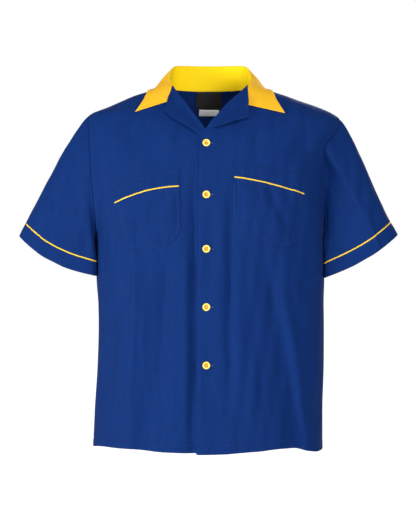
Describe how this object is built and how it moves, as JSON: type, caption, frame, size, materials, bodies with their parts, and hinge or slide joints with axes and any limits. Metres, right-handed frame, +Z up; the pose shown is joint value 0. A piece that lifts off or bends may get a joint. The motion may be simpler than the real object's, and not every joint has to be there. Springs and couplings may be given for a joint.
{
  "type": "bowling shirt",
  "caption": "Short-sleeved bowling shirt with an open contrast collar, piped pockets and cuffs, and a buttoned front, worn and hollow.",
  "frame": {"origin": "midway between the two points where the shoulder seams meet the neck, held by the wearer's shoulders", "axes": "+Z up, -Y towards the front, +X towards the wearer's left"},
  "size_m": [0.809, 0.2577, 0.8229],
  "materials": {
    "blue_cloth": "matte plain weave of polyester and cotton, with a faint sheen",
    "yellow_cloth": "matte plain weave of polyester and cotton",
    "button_plastic": "glossy, slightly pearly",
    "black_label": "woven satin",
    "grey_label": "woven satin"
  },
  "bodies": {
    "root": {"back": "blue_cloth", "collar": "yellow_cloth", "neck_label": "black_label", "size_label": "grey_label", "front_left": "blue_cloth", "sleeve_left": "blue_cloth", "cuff_left": "blue_cloth", "lapel_left": "blue_cloth", "pocket_left": "blue_cloth", "pocket_band_left": "blue_cloth", "cuff_piping_left": "yellow_cloth", "pocket_piping_left": "yellow_cloth", "front_right": "blue_cloth", "sleeve_right": "blue_cloth", "cuff_right": "blue_cloth", "lapel_right": "blue_cloth", "pocket_right": "blue_cloth", "pocket_band_right": "blue_cloth", "cuff_piping_right": "yellow_cloth", "pocket_piping_right": "yellow_cloth", "button_1": "button_plastic", "button_2": "button_plastic", "button_3": "button_plastic", "button_4": "button_plastic", "button_5": "button_plastic"}
  },
  "joints": []
}
